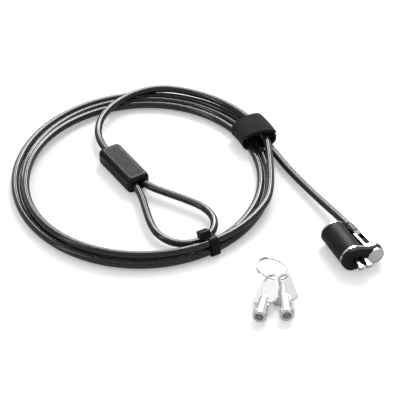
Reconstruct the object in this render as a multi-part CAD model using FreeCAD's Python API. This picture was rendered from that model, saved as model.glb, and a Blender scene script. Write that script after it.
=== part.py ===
import FreeCAD, Part
import math
import os

# Laptop cable lock lying on a table, in millimetres, +Z up, the table at Z = 0.
# The lock head lies along Y with its locking jaws toward -Y. The wound cable lies behind it.

V = FreeCAD.Vector
UP = V(0, 0, 1)
LOCK_DIR = V(0, 1, 0)
ORIGIN = V(0, 0, 0)

# Cable
CABLE_D = 4.5
CABLE_R = CABLE_D / 2
BAND_T = 1.0                      # tape and tie thickness, which also lifts the coil off the table
BAND_GAP = 0.3                    # between the cable and what is wrapped round it
LAYER_LOW = CABLE_R + BAND_GAP + BAND_T
STRAND_PITCH = 4.93               # between turns that lie side by side
LAYER_HIGH = LAYER_LOW + 4.9

# Coil: three turns, clockwise from the lead of the eye to the lead of the lock
COIL_CENTRE = V(-51.3, 121.6, 0)
COIL_START_DEG = -10.0
COIL_UPPER_RADII = (80.0, 75.7, 73.7)
COIL_INNER_R = 70.9
COIL_QUARTERS = 12
COIL_UPPER_QUARTERS = 3
COIL_OVAL = 1.6
COIL_OVAL_DEG = 65.0
DIVE_SLOPE = -13.0                # radius lost per quarter turn where the upper turn dives inward
COIL_EXIT_RUN = 20.0              # straight end that leaves the turns toward the lock

# Routes of the free stretches, chosen by hand
EYE_LEAD = [
    V(-62.5, 146.8, 5.5),
    V(-64.2, 158.6, 5.7),
    V(-62.3, 170.4, 6.6),
    V(-55.4, 181.2, 8.2),
    V(-44.4, 189.8, 8.45),
    V(-30.6, 195.4, 8.45),
    V(-14.1, 196.2, 8.45),
    V(1.2, 188.7, 8.45),
    V(18.8, 168.9, 8.45),
    V(28.6, 145.3, 8.45),
    V(30.3, 123.6, 8.45),
    V(28.2, 112.1, 8.45),
]
LOCK_LEAD = [
    V(31.2, 102.7, 3.55),
    V(31.5, 90.0, 3.6),
    V(33.3, 66.0, 4.6),
    V(35.4, 46.5, 5.8),
    V(36.74, 34.13, 6.8),
    V(37.44, 26.17, 6.8),
]
EYE_LOOP = [
    V(-61.56, 123.64, 5.5),
    V(-60.2, 114.3, 5.5),
    V(-61.0, 102.0, 5.6),
    V(-64.0, 88.5, 5.7),
    V(-66.0, 77.6, 5.4),
    V(-66.0, 67.6, 4.8),
    V(-61.0, 58.6, 3.9),
    V(-52.5, 53.6, 3.55),
    V(-42.6, 53.4, 3.55),
    V(-33.8, 58.4, 3.9),
    V(-29.4, 67.4, 4.8),
    V(-31.2, 78.2, 5.4),
    V(-38.2, 88.6, 5.7),
    V(-46.4, 99.6, 5.6),
    V(-54.92, 111.52, 5.5),
    V(-56.82, 124.32, 5.5),
]
ARC_SHARE = 0.45                  # share of the shorter run that an arc takes

# Sleeve of the eye
SLEEVE_MOUTH = V(-57.6, 113.1, 5.5)
SLEEVE_TURN_DEG = 8.3             # its axis, from +Y toward -X
SLEEVE_L = 38.0
SLEEVE_W = 15.0
SLEEVE_T = 2 * SLEEVE_MOUTH.z
SLEEVE_EDGE_R = 3.2
CRIMP_START = 11.0
CRIMP_L = 23.04
CRIMP_W = 10.2
CRIMP_T = 6.0
CRIMP_GAP = 0.25
SLEEVE_BORE_GAP = 0.3

# Tape strap and cable tie round the turns
STRAP_DEG = 5.3
STRAP_W = 20.0
TIE_DEG = -82.0
TIE_W = 4.8
TIE_HEAD_L = 6.6
TIE_HEAD_W = 6.2
TIE_HEAD_T = 4.6
TIE_HEAD_EDGE_R = 0.7
BEND_R = 76.0                     # plan radius to which tape and tie are bent
STRAND_REACH = 14.0

# Lock head
BARREL_X = 26.3
BARREL_R = 7.7
BARREL_Z = BARREL_R
HEAD_REAR_Y = 25.3
TRIM_T = 1.2
HOUSING_L = 22.6
PLATE_T = 1.2
PAD_T = 3.2
SHELL_INSET = 0.2                 # black parts stand this far inside the bright plate and ring
SHELL_WALL = 1.1
FIT_GAP = 0.05
PAD_EDGE_R = 1.3
LOBE_X = 39.5
LOBE_Z = 6.8
LOBE_R = 5.7
SADDLE_R = 22.0                   # hollow between barrel and lobe, seen from the front

HOUSING_REAR_Y = HEAD_REAR_Y - TRIM_T
HOUSING_FRONT_Y = HOUSING_REAR_Y - HOUSING_L
PAD_REAR_Y = HOUSING_FRONT_Y - PLATE_T
PAD_FRONT_Y = PAD_REAR_Y - PAD_T
SHELL_R = BARREL_R - SHELL_INSET
CORE_SPACE_R = SHELL_R - SHELL_WALL
INSERT_R = CORE_SPACE_R - FIT_GAP

# Swivel stem, washer and yoke
DISC_R = 5.2
DISC_T = 1.1
DISC_PROUD = 0.5
DISC_RIM_W = 0.6
DISC_RIM_T = 0.25
STEM_R = 1.6
STEM_TAIL_R = 1.0
STEM_GAP = 0.05
STEM_KNOB_R = 1.2
STEM_KNOB_T = 0.8
WASHER_R = 3.2
WASHER_T = 0.7
FACE_GAP = 0.1
YOKE_TURN_DEG = 5.0
YOKE_W = 5.6
YOKE_H = 5.0
YOKE_CHEEK = 1.2
YOKE_WALL = 3.2
YOKE_TO_PIN = 13.6
YOKE_FACE_GAP = 0.35
PIN_R = 1.0
PIN_GAP = 0.05
PRESS_GAP = 0.01
EYE_R = 2.2
TONGUE_GAP = 0.2
COLLAR_START = 2.85
COLLAR_R = 2.7
COLLAR_END = 10.0
COLLAR_CHAMFER = 0.4

WASHER_FRONT_Y = HOUSING_FRONT_Y + FACE_GAP
YOKE_Y = WASHER_FRONT_Y + WASHER_T + YOKE_FACE_GAP

# Locking jaws
JAW_X = 28.9
JAW_SPAN = 6.7                    # over both blades, for the 7 by 3 slot
JAW_W = 1.6
JAW_H = 2.7
JAW_REACH = 7.3                   # past the pad
HOOK_L = 1.4
HOOK_OUT = 0.5
HOOK_IN = 0.7
JAW_PIVOT_Y = 3.4
LEFT_PIVOT_X = 26.35
RIGHT_PIVOT_X = 30.9
JAW_PIN_R = 0.6
JAW_PIN_HALF = 3.4
JAW_EYE_R = 1.3
TAIL_W = 1.0
TAIL_END_Y = 8.6
TAIL_KNEE_Y = 5.6
SLOT_GAP = 0.35
FUNNEL_GROW = 0.4
FUNNEL_DEPTH = 0.8
JAW_FACE_GAP = 0.12
CAM_MINOR = 1.5
CAM_MAJOR = 1.8
CAM_GAP = 0.2
CAM_T = 2.1
CAM_FRONT_Y = 6.6
CARRIER_REAR_Y = 8.9
CARRIER_WALL = 2.8
LEAF_T = 0.25
LEAF_GAP = 0.35
LEAF_L = 2.9

# Pin lock
BUSH_FRONT_Y = 9.7
SHEAR_Y = 15.55
SHEAR_GAP = 0.06
FLANGE_T = 3.0
CYLINDER_REAR_Y = 24.8
KEYWAY_R = 4.25
FLANGE_R = 4.15
POST_R = 2.4
POST_REAR_Y = 24.5
SPINDLE_R = 1.9
SPINDLE_FRONT_Y = 8.95
STUB_SIDE = 1.5
STUB_GAP = 0.02
STUB_FRONT_Y = 6.6
TUMBLERS = 7
TUMBLER_CIRCLE_R = 3.3
TUMBLER_R = 0.62
TUMBLER_BORE_R = 0.68
TUMBLER_CUTS = (0.2, 0.9, 0.5, 1.1, 0.35, 0.75, 0.6)
TUMBLER_PROUD = 0.9               # of an uncut tumbler behind the flange
DRIVER_L = 1.9
SPRING_L = 2.9
SPRING_WALL = 0.25
TOOTH_W = 1.4
TOOTH_H = 0.8
TOOTH_GAP = 0.15
CLIP_T = 0.5
CLIP_R = 2.9
CLIP_GROOVE_R = 1.55
CLIP_Y = 9.1
CLIP_MOUTH = 2.4

# Key ring and keys
RING_CENTRE = V(-17.7, 13.75, 4.4)
RING_R = 9.4
RING_WIRE_R = 0.45
RING_TILT_DEG = 3.0               # far side up
RING_LEAN_DEG = 14.0              # left side up
KEY_SHANK_R = 3.15
KEY_COLLAR_R = 4.15
KEY_COLLAR_L = 3.4
KEY_COLLAR_EDGE_R = 0.35
KEY_TOOTH_ROOT = 0.6
KEY_TOOTH_SETBACK = 0.4
KEY_CUT_OUT = 0.55                # the coded cuts lie this far outside the tumbler circle
KEY_BORE_R = 2.5
KEY_BORE_DEPTH = 8.0
KEY_L = 15.6
KEY_REST_Z = 4.3                  # height of the key's axis where its collar starts
KEY_END_R = 1.6
BOW_T = 1.3
BOW_HOLE_X = -15.3
BOW_HOLE_R = 2.8
BOW_APEX_R = 4.2
BOW_SHOULDER_X = 4.5
BOW_HALF_W = 7.2
BOW_CORNER_R = 2.6
LEFT_KEY = {"name": "left", "ring_deg": -32.0, "heading": 39.0, "roll": 20.0}
RIGHT_KEY = {"name": "right", "ring_deg": 14.0, "heading": 23.0, "roll": 24.0}


def save(shape, node):
    shape.exportStep("parts/" + node + ".step")


def rod(x, z, y0, y1, r):
    """A round bar along Y."""
    return Part.makeCylinder(r, y1 - y0, V(x, y0, z), LOCK_DIR)


def block(x0, x1, y0, y1, z0, z1):
    return Part.makeBox(x1 - x0, y1 - y0, z1 - z0, V(x0, y0, z0))


def plate(points, z0, height):
    """A flat piece from a plan outline of straight sides."""
    corners = [V(x, y, z0) for x, y in points]
    face = Part.Face(Part.makePolygon(corners + corners[:1]))
    return face.extrude(UP * height)


def arc(a, middle, b):
    return Part.Arc(a, middle, b).toShape()


def line(a, b):
    return Part.LineSegment(a, b).toShape()


def unit(v):
    return v * (1 / v.Length)


# Cable paths

def biarc(p0, t0, p1, t1):
    """Two tangent arcs from p0 to p1 that start along t0 and end along t1."""
    v, t = p1 - p0, t0 + t1
    k = 2 * (1 - t0.dot(t1))
    d = (-v.dot(t) + math.sqrt(v.dot(t) ** 2 + k * v.dot(v))) / k
    q0, q1 = p0 + t0 * d, p1 - t1 * d
    join = (q0 + q1) * 0.5
    edges = []
    for a, q, b in ((p0, q0, join), (join, q1, p1)):
        chord_mid = (a + b) * 0.5
        half, rise = (b - a).Length / 2, (q - chord_mid).Length
        sagitta = half * math.tan(math.atan2(rise, half) / 2)
        edges.append(arc(a, chord_mid + unit(q - chord_mid) * sagitta, b))
    return edges


def coil_stations():
    """Where each quarter turn starts: its point, and its run along the cable."""
    radii = list(COIL_UPPER_RADII)
    turns = range(COIL_QUARTERS + 1 - COIL_UPPER_QUARTERS)
    radii += [COIL_INNER_R + STRAND_PITCH * k / 4 for k in turns]
    stations = []
    for k, radius in enumerate(radii):
        a = math.radians(COIL_START_DEG - 90 * k)
        off = 2 * (a - math.radians(COIL_OVAL_DEG))
        r = radius + COIL_OVAL * math.cos(off)
        z = LAYER_HIGH if k < COIL_UPPER_QUARTERS else LAYER_LOW
        if k == COIL_UPPER_QUARTERS - 1:
            slope = DIVE_SLOPE
        elif k >= COIL_UPPER_QUARTERS:
            slope = STRAND_PITCH / 4
        else:
            slope = (radii[2] - radii[0]) / 2
        slope += COIL_OVAL * 2 * math.sin(off) * math.pi / 2
        out = V(math.cos(a), math.sin(a), 0)
        along = V(math.sin(a), -math.cos(a), 0)
        point = V(COIL_CENTRE.x, COIL_CENTRE.y, z) + out * r
        stations.append((point, unit(out * slope + along * (r * math.pi / 2))))
    return stations


def coil_path():
    stations = coil_stations()
    first = unit(EYE_LEAD[-1] - EYE_LEAD[-2])
    last = unit(LOCK_LEAD[1] - LOCK_LEAD[0])
    last = unit(V(last.x, last.y, 0))
    stations[0] = (EYE_LEAD[-1] + first * CABLE_D, first)
    stations[-1] = (LOCK_LEAD[0] - last * COIL_EXIT_RUN, last)
    edges = [line(EYE_LEAD[-1], stations[0][0])]
    for (p0, t0), (p1, t1) in zip(stations, stations[1:]):
        edges += biarc(p0, t0, p1, t1)
    edges.append(line(stations[-1][0], LOCK_LEAD[0]))
    return Part.Wire(edges)


def rounded_path(points, name):
    """Straight runs joined by tangent arcs, each as large as its two runs allow."""
    edges, at, radii = [], points[0], []
    for before, corner, after in zip(points, points[1:], points[2:]):
        back, on = before - corner, after - corner
        half_turn = (math.pi - back.getAngle(on)) / 2
        cut = ARC_SHARE * min(back.Length, on.Length)
        radius = cut / math.tan(half_turn)
        start, end = corner + unit(back) * cut, corner + unit(on) * cut
        bisector = unit(unit(back) + unit(on))
        middle = corner + bisector * (radius / math.cos(half_turn) - radius)
        edges += [line(at, start), arc(start, middle, end)]
        at = end
        radii.append(radius)
    edges.append(line(at, points[-1]))
    print(name, "bend radii:", " ".join(f"{r:.0f}" for r in radii))
    return Part.Wire(edges)


def tube(path, radius):
    start = path.Edges[0]
    at, along = start.valueAt(start.FirstParameter), start.tangentAt(start.FirstParameter)
    if (path.Edges[1].CenterOfMass - at).dot(along) < 0:
        at, along = start.valueAt(start.LastParameter), along * -1
    ring = Part.Wire(Part.makeCircle(radius, at, along))
    return path.makePipeShell([ring], True, False)


def check_tube(name, solid, path):
    whole = math.pi * CABLE_R ** 2 * path.Length
    print(f"{name}: {path.Length:.0f} mm, volume {solid.Volume / whole:.4f} of section by length")


def least_gap(path, spacing=1.5):
    """The least gap between stretches of one path that are over three diameters apart along it."""
    points = path.discretize(Distance=spacing)
    skip = int(3 * CABLE_D / spacing) + 1
    return min(points[i].distanceToPoint(points[j]) - CABLE_D
               for i in range(len(points)) for j in range(i + skip, len(points)))


def gap_between(path, other, spacing=1.5):
    ours, theirs = path.discretize(Distance=spacing), other.discretize(Distance=spacing)
    return min(a.distanceToPoint(b) for a in ours for b in theirs) - CABLE_D


# Bands round the turns

def strands_in(paths, centre, out, half_turn):
    """Where the cable runs inside a wedge about an upright axis: (offset outward, height)."""
    found = []
    for path in paths:
        for p in path.discretize(Distance=1.0):
            arm = V(p.x - centre.x, p.y - centre.y, 0)
            if abs(arm.Length - BEND_R) < STRAND_REACH and arm.getAngle(out) < half_turn:
                found.append((round(arm.Length - BEND_R, 2), round(p.z, 2)))
    return found


def hull(points):
    """The outer corners of a few points, anticlockwise."""
    points = sorted(set(points))

    def chain(row):
        kept = []
        for p in row:
            while len(kept) > 1 and ((kept[-1][0] - kept[-2][0]) * (p[1] - kept[-2][1])
                                     - (kept[-1][1] - kept[-2][1]) * (p[0] - kept[-2][0])) <= 0:
                kept.pop()
            kept.append(p)
        return kept[:-1]

    return chain(points) + chain(points[::-1])


def hull_face(corners, radius, place):
    """A face round equal circles at the corners of a hull, as a tight band bends."""
    edges = []
    count = len(corners)
    for i, (x, z) in enumerate(corners):
        px, pz = corners[i - 1]
        nx, nz = corners[(i + 1) % count]
        before = math.atan2(z - pz, x - px) - math.pi / 2
        after = math.atan2(nz - z, nx - x) - math.pi / 2
        while after < before:
            after += 2 * math.pi
        mid = (before + after) / 2
        a, m, b = [place(x + radius * math.cos(t), z + radius * math.sin(t))
                   for t in (before, mid, after)]
        end = place(nx + radius * math.cos(after), nz + radius * math.sin(after))
        edges += [arc(a, m, b), line(b, end)]
    return Part.Face(Part.Wire(edges))


def band(paths, degrees, width):
    """A closed band round the turns at one place, bent with them."""
    a = math.radians(degrees)
    near = COIL_CENTRE + V(math.cos(a), math.sin(a), 0) * BEND_R
    points = [p for path in paths for p in path.discretize(Distance=1.0)]
    at = min(points, key=lambda p: V(p.x - near.x, p.y - near.y, 0).Length)
    along = V(math.sin(a), -math.cos(a), 0)
    later = min(points, key=lambda p: (p - at - along * 6).Length)
    along = unit(V(later.x - at.x, later.y - at.y, 0))
    out = V(-along.y, along.x, 0)
    centre = V(at.x, at.y, 0) - out * BEND_R
    half_turn = width / 2 / BEND_R
    corners = hull(strands_in(paths, centre, out, half_turn))

    def place(x, z):
        return V(at.x, at.y, 0) + out * x + UP * z

    ring = hull_face(corners, CABLE_R + BAND_GAP + BAND_T, place).cut(
        hull_face(corners, CABLE_R + BAND_GAP, place))
    ring.rotate(centre, UP, -math.degrees(half_turn))
    solid = ring.revolve(centre, UP, math.degrees(2 * half_turn))
    return solid, corners, at, along, out


def tie(paths):
    """The tie's loop, and its toothed head on the upper inner side of the turns."""
    loop, corners, at, along, out = band(paths, TIE_DEG, TIE_W)
    top = max(corners, key=lambda c: c[1])
    inner = min(corners, key=lambda c: c[0])
    slope = unit(out * (top[0] - inner[0]) + UP * (top[1] - inner[1]))
    normal = unit(slope.cross(along))
    if normal.z < 0:
        normal = normal * -1
    middle = V(at.x, at.y, 0) + out * ((top[0] + inner[0]) / 2) + UP * ((top[1] + inner[1]) / 2)
    seat = middle + normal * (CABLE_R + BAND_GAP + BAND_T / 2)
    head = Part.makeBox(TIE_HEAD_L, TIE_HEAD_W, TIE_HEAD_T)
    head = head.makeFillet(TIE_HEAD_EDGE_R, head.Edges)
    head.translate(V(-TIE_HEAD_L / 2, -TIE_HEAD_W / 2, 0))
    frame = FreeCAD.Placement(seat, FreeCAD.Rotation(along, slope, normal, "ZXY"))
    head.Placement = frame
    return loop.fuse(head).removeSplitter()


# Sleeve and crimp of the eye

def sleeve_place():
    return FreeCAD.Placement(SLEEVE_MOUTH, FreeCAD.Rotation(UP, SLEEVE_TURN_DEG))


def oblong(width, height, y0, y1):
    """A bar along Y of rounded section, as wide strip with half-round edges."""
    half = width / 2 - height / 2
    middle = block(-half, half, y0, y1, -height / 2, height / 2)
    ends = [rod(side * half, 0, y0, y1, height / 2) for side in (-1, 1)]
    return middle.fuse(ends).removeSplitter()


def sleeve():
    body = block(-SLEEVE_W / 2, SLEEVE_W / 2, 0, SLEEVE_L, -SLEEVE_T / 2, SLEEVE_T / 2)
    body = body.makeFillet(SLEEVE_EDGE_R, body.Edges)
    hollow_end = CRIMP_START + CRIMP_L + CRIMP_GAP
    hollow = oblong(CRIMP_W + 2 * CRIMP_GAP, CRIMP_T + 2 * CRIMP_GAP, -1, hollow_end)
    bore = rod(0, 0, hollow_end - 1, SLEEVE_L + 1, CABLE_R + SLEEVE_BORE_GAP)
    body = body.cut(hollow.fuse(bore))
    body.Placement = sleeve_place()
    return body


def crimp():
    body = oblong(CRIMP_W, CRIMP_T, CRIMP_START, CRIMP_START + CRIMP_L)
    body.Placement = sleeve_place()
    return body


# Lock head shells

def teardrop(inset, y0, y1):
    """The head's front outline: barrel and lobe joined by a hollow saddle above, flat below."""
    big, small = BARREL_R - inset, LOBE_R - inset
    saddle = SADDLE_R + inset
    b, l = V(BARREL_X, y0, BARREL_Z), V(LOBE_X, y0, LOBE_Z)
    span = (l - b).Length
    reach_b, reach_l = big + saddle, small + saddle
    lean = math.atan2(l.z - b.z, l.x - b.x)
    angle = math.acos((reach_b ** 2 + span ** 2 - reach_l ** 2) / (2 * reach_b * span))
    direction = V(math.cos(lean + angle), 0, math.sin(lean + angle))
    s = b + direction * reach_b
    top_b, top_l = b + direction * big, l + unit(s - l) * small
    under = lean - math.pi / 2 + math.asin((big - small) / span)
    drop = V(math.cos(under), 0, math.sin(under))
    low_b, low_l = b + drop * big, l + drop * small
    left = b + V(-big, 0, 0)
    right = l + V(small, 0, 0)
    wire = Part.Wire([
        arc(low_b, left, top_b),
        arc(top_b, s - unit((s - b) + (s - l)) * saddle, top_l),
        arc(top_l, right, low_l),
        line(low_l, low_b),
    ])
    return Part.Face(wire).extrude(LOCK_DIR * (y1 - y0))


def jaw_slot(y0, y1, extra=0.0):
    half_x = JAW_SPAN / 2 + SLOT_GAP + extra
    half_z = JAW_H / 2 + JAW_FACE_GAP + extra
    return block(JAW_X - half_x, JAW_X + half_x, y0, y1, BARREL_Z - half_z, BARREL_Z + half_z)


def front_plate():
    body = teardrop(0, PAD_REAR_Y, HOUSING_FRONT_Y)
    holes = jaw_slot(PAD_REAR_Y - 1, HOUSING_FRONT_Y + 1)
    holes = holes.fuse(rod(LOBE_X, LOBE_Z, PAD_REAR_Y - 1, HOUSING_FRONT_Y + 1, STEM_R + STEM_GAP))
    return body.cut(holes)


def front_pad():
    body = teardrop(SHELL_INSET, PAD_FRONT_Y, PAD_REAR_Y)
    rim = [e for e in body.Edges if abs(e.CenterOfMass.y - PAD_FRONT_Y) < 1e-6]
    body = body.makeFillet(PAD_EDGE_R, rim)
    mouth = jaw_slot(PAD_FRONT_Y - 1, PAD_REAR_Y + 1)
    funnel = jaw_slot(PAD_FRONT_Y - 1, PAD_FRONT_Y + FUNNEL_DEPTH, FUNNEL_GROW)
    seat = rod(LOBE_X, LOBE_Z, PAD_FRONT_Y - 1, PAD_FRONT_Y - DISC_PROUD + DISC_T, DISC_R + FIT_GAP)
    stem = rod(LOBE_X, LOBE_Z, PAD_FRONT_Y - 1, PAD_REAR_Y + 1, STEM_R + STEM_GAP)
    return body.cut(mouth.fuse([funnel, seat, stem]))


def housing():
    body = rod(BARREL_X, BARREL_Z, HOUSING_FRONT_Y, HOUSING_REAR_Y, SHELL_R)
    return body.cut(rod(BARREL_X, BARREL_Z, HOUSING_FRONT_Y - 1, HOUSING_REAR_Y + 1, CORE_SPACE_R))


def rear_trim_ring():
    body = rod(BARREL_X, BARREL_Z, HOUSING_REAR_Y, HEAD_REAR_Y, BARREL_R)
    outer = [e for e in body.Edges if abs(e.CenterOfMass.y - HEAD_REAR_Y) < 1e-6]
    body = body.makeFillet(TRIM_T / 3, outer)
    return body.cut(rod(BARREL_X, BARREL_Z, HOUSING_REAR_Y - 1, HEAD_REAR_Y + 1, CORE_SPACE_R))


def swivel_stem():
    """Round head in the pad, shank through pad and plate, thin tail riveted inside the yoke."""
    front = PAD_FRONT_Y - DISC_PROUD
    disc = rod(LOBE_X, LOBE_Z, front, front + DISC_T, DISC_R)
    dish = rod(LOBE_X, LOBE_Z, front - 1, front + DISC_RIM_T, DISC_R - DISC_RIM_W)
    shoulder = YOKE_Y - YOKE_FACE_GAP
    shank = rod(LOBE_X, LOBE_Z, front + DISC_T, shoulder, STEM_R)
    inside = YOKE_Y + YOKE_WALL + 2 * FACE_GAP
    tail = rod(LOBE_X, LOBE_Z, shoulder, inside, STEM_TAIL_R)
    knob = rod(LOBE_X, LOBE_Z, inside, inside + STEM_KNOB_T, STEM_KNOB_R)
    return disc.cut(dish).fuse([shank, tail, knob]).removeSplitter()


def washer():
    y0, y1 = WASHER_FRONT_Y, WASHER_FRONT_Y + WASHER_T
    return rod(LOBE_X, LOBE_Z, y0, y1, WASHER_R).cut(
        rod(LOBE_X, LOBE_Z, y0 - 1, y1 + 1, STEM_R + STEM_GAP))


# Yoke, its cross pin and the cable's end

def yoke_place():
    at = V(LOBE_X, YOKE_Y, LOBE_Z)
    return FreeCAD.Placement(at, FreeCAD.Rotation(UP, YOKE_TURN_DEG))


def cross_bar(y, half, r):
    return Part.makeCylinder(r, 2 * half, V(-half, y, 0), V(1, 0, 0))


def yoke():
    half_w, half_h = YOKE_W / 2, YOKE_H / 2
    body = block(-half_w, half_w, 0, YOKE_TO_PIN, -half_h, half_h)
    body = body.fuse(cross_bar(YOKE_TO_PIN, half_w, half_h)).removeSplitter()
    gap = half_w - YOKE_CHEEK
    window = block(-gap, gap, YOKE_WALL, YOKE_TO_PIN + YOKE_H, -half_h - 1, half_h + 1)
    body = body.cut(window.fuse(cross_bar(YOKE_TO_PIN, half_w + 1, PIN_R + PRESS_GAP)))
    body.Placement = yoke_place()
    return body.cut(rod(LOBE_X, LOBE_Z, YOKE_Y - 2, YOKE_Y + YOKE_WALL + 2, STEM_TAIL_R + STEM_GAP))


def pivot_pin():
    body = cross_bar(YOKE_TO_PIN, YOKE_W / 2, PIN_R)
    body.Placement = yoke_place()
    return body


def cable_end():
    """The crimped collar on the cable, with a flat eye that swings on the cross pin."""
    half = YOKE_W / 2 - YOKE_CHEEK - TONGUE_GAP
    y = YOKE_TO_PIN
    tongue = block(-half, half, y, y + COLLAR_START + 1, -EYE_R, EYE_R)
    collar = Part.makeCylinder(COLLAR_R, COLLAR_END - COLLAR_START, V(0, y + COLLAR_START, 0), LOCK_DIR)
    collar = collar.makeChamfer(COLLAR_CHAMFER, collar.Edges)
    body = tongue.fuse([cross_bar(y, half, EYE_R), collar]).removeSplitter()
    body = body.cut(cross_bar(y, half + 1, PIN_R + PIN_GAP))
    body.Placement = yoke_place()
    return body


# Locking jaws and their drive

def jaw(pivot_x, blade_x, tail_face, side):
    """One lever: hooked blade in front of its pivot, tail beside the cam behind it."""
    tip_y = PAD_FRONT_Y - JAW_REACH
    z0 = BARREL_Z - JAW_H / 2
    inner, outer = blade_x - side * JAW_W / 2, blade_x + side * JAW_W / 2
    tail_out = tail_face + side * TAIL_W
    body = plate([
        (inner, tip_y), (outer, tip_y), (outer, JAW_PIVOT_Y),
        (tail_out, TAIL_KNEE_Y), (tail_out, TAIL_END_Y), (tail_face, TAIL_END_Y),
        (tail_face, TAIL_KNEE_Y), (inner, JAW_PIVOT_Y),
    ], z0, JAW_H)
    hook = plate([
        (inner - side * HOOK_IN, tip_y), (outer + side * HOOK_OUT, tip_y),
        (outer + side * HOOK_OUT, tip_y + HOOK_L), (inner - side * HOOK_IN, tip_y + HOOK_L),
    ], z0, JAW_H)
    eye = Part.makeCylinder(JAW_EYE_R, JAW_H, V(pivot_x, JAW_PIVOT_Y, z0))
    body = body.fuse([hook, eye]).removeSplitter()
    return body.cut(Part.makeCylinder(JAW_PIN_R + PIN_GAP, JAW_H + 2, V(pivot_x, JAW_PIVOT_Y, z0 - 1)))


def jaw_faces():
    """Blade centres and cam-side faces of the two tails, left then right."""
    blade = JAW_SPAN / 2 - JAW_W / 2
    face = CAM_MINOR + CAM_GAP
    return (JAW_X - blade, BARREL_X - face), (JAW_X + blade, BARREL_X + face)


def jaw_pins():
    pins = [Part.makeCylinder(JAW_PIN_R, 2 * JAW_PIN_HALF, V(x, JAW_PIVOT_Y, BARREL_Z - JAW_PIN_HALF))
            for x in (LEFT_PIVOT_X, RIGHT_PIVOT_X)]
    return Part.makeCompound(pins)


def leaf_faces():
    """Outer faces of the two tails, where the return leaves stand, left then right."""
    (_, left), (_, right) = jaw_faces()
    return left - TAIL_W - LEAF_GAP, right + TAIL_W + LEAF_GAP


def jaw_carrier():
    """Round block that holds the pivot pins, slotted for the jaws, bored for the cam."""
    y0 = HOUSING_FRONT_Y + FIT_GAP
    body = rod(BARREL_X, BARREL_Z, y0, CARRIER_REAR_Y, INSERT_R)
    half_z = JAW_H / 2 + JAW_FACE_GAP
    x0 = BARREL_X - INSERT_R + CARRIER_WALL
    slot = block(x0, BARREL_X + INSERT_R + 1, y0 - 1, CARRIER_REAR_Y + 1,
                 BARREL_Z - half_z, BARREL_Z + half_z)
    bore = rod(BARREL_X, BARREL_Z, STUB_FRONT_Y - 2 * FACE_GAP, CARRIER_REAR_Y + 1, CAM_MAJOR + CAM_GAP)
    body = body.cut(slot.fuse(bore))
    holes = [Part.makeCylinder(JAW_PIN_R + PRESS_GAP, 2 * (JAW_PIN_HALF + FACE_GAP),
                               V(x, JAW_PIVOT_Y, BARREL_Z - JAW_PIN_HALF - FACE_GAP))
             for x in (LEFT_PIVOT_X, RIGHT_PIVOT_X)]
    return body.cut(holes[0].fuse(holes[1]))


def jaw_springs():
    """Two thin leaves beside the tails, which push them back when the key returns."""
    left, right = leaf_faces()
    y1 = CARRIER_REAR_Y - FACE_GAP
    half = JAW_H / 2 + JAW_FACE_GAP - FIT_GAP
    leaves = [block(x0, x0 + LEAF_T, y1 - LEAF_L, y1, BARREL_Z - half, BARREL_Z + half)
              for x0 in (left - LEAF_T, right)]
    return Part.makeCompound(leaves)


def cam():
    ellipse = Part.Ellipse(V(0, 0, 0), CAM_MAJOR, CAM_MINOR).toShape()
    body = Part.Face(Part.Wire(ellipse)).extrude(UP * CAM_T)
    side = STUB_SIDE + 2 * STUB_GAP
    body = body.cut(Part.makeBox(side, side, CAM_T + 2, V(-side / 2, -side / 2, -1)))
    body.Placement = FreeCAD.Placement(
        V(BARREL_X, CAM_FRONT_Y + FACE_GAP, BARREL_Z),
        FreeCAD.Rotation(UP, V(1, 0, 0), LOCK_DIR, "XYZ"))
    return body


# Pin lock

def tumbler_spots():
    for i in range(TUMBLERS):
        a = 2 * math.pi * (i + 0.5) / TUMBLERS
        yield (BARREL_X + TUMBLER_CIRCLE_R * math.sin(a), BARREL_Z + TUMBLER_CIRCLE_R * math.cos(a))


def bore_set(y0, y1):
    rods = [rod(x, z, y0, y1, TUMBLER_BORE_R) for x, z in tumbler_spots()]
    return rods[0].fuse(rods[1:])


def driver_rear_y():
    return SHEAR_Y - SHEAR_GAP / 2


def spring_front_y():
    return driver_rear_y() - DRIVER_L - FIT_GAP - SPRING_L


def pin_bushing():
    body = rod(BARREL_X, BARREL_Z, BUSH_FRONT_Y, SHEAR_Y, INSERT_R)
    body = body.cut(rod(BARREL_X, BARREL_Z, BUSH_FRONT_Y - 1, SHEAR_Y + 1, SPINDLE_R + FIT_GAP))
    return body.cut(bore_set(spring_front_y() - FIT_GAP, SHEAR_Y + 1))


def key_slot(y0, y1):
    """The groove above the keyway that the key's tooth slides in."""
    half = TOOTH_W / 2 + TOOTH_GAP
    top = BARREL_Z + KEYWAY_R + TOOTH_H + TOOTH_GAP
    return block(BARREL_X - half, BARREL_X + half, y0, y1, BARREL_Z, top)


def cylinder_body():
    y0 = SHEAR_Y + FIT_GAP
    body = rod(BARREL_X, BARREL_Z, y0, CYLINDER_REAR_Y, INSERT_R)
    bore = rod(BARREL_X, BARREL_Z, y0 - 1, CYLINDER_REAR_Y + 1, KEYWAY_R)
    slot = key_slot(SHEAR_Y + FLANGE_T, CYLINDER_REAR_Y + 1)
    return body.cut(bore.fuse(slot))


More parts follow.
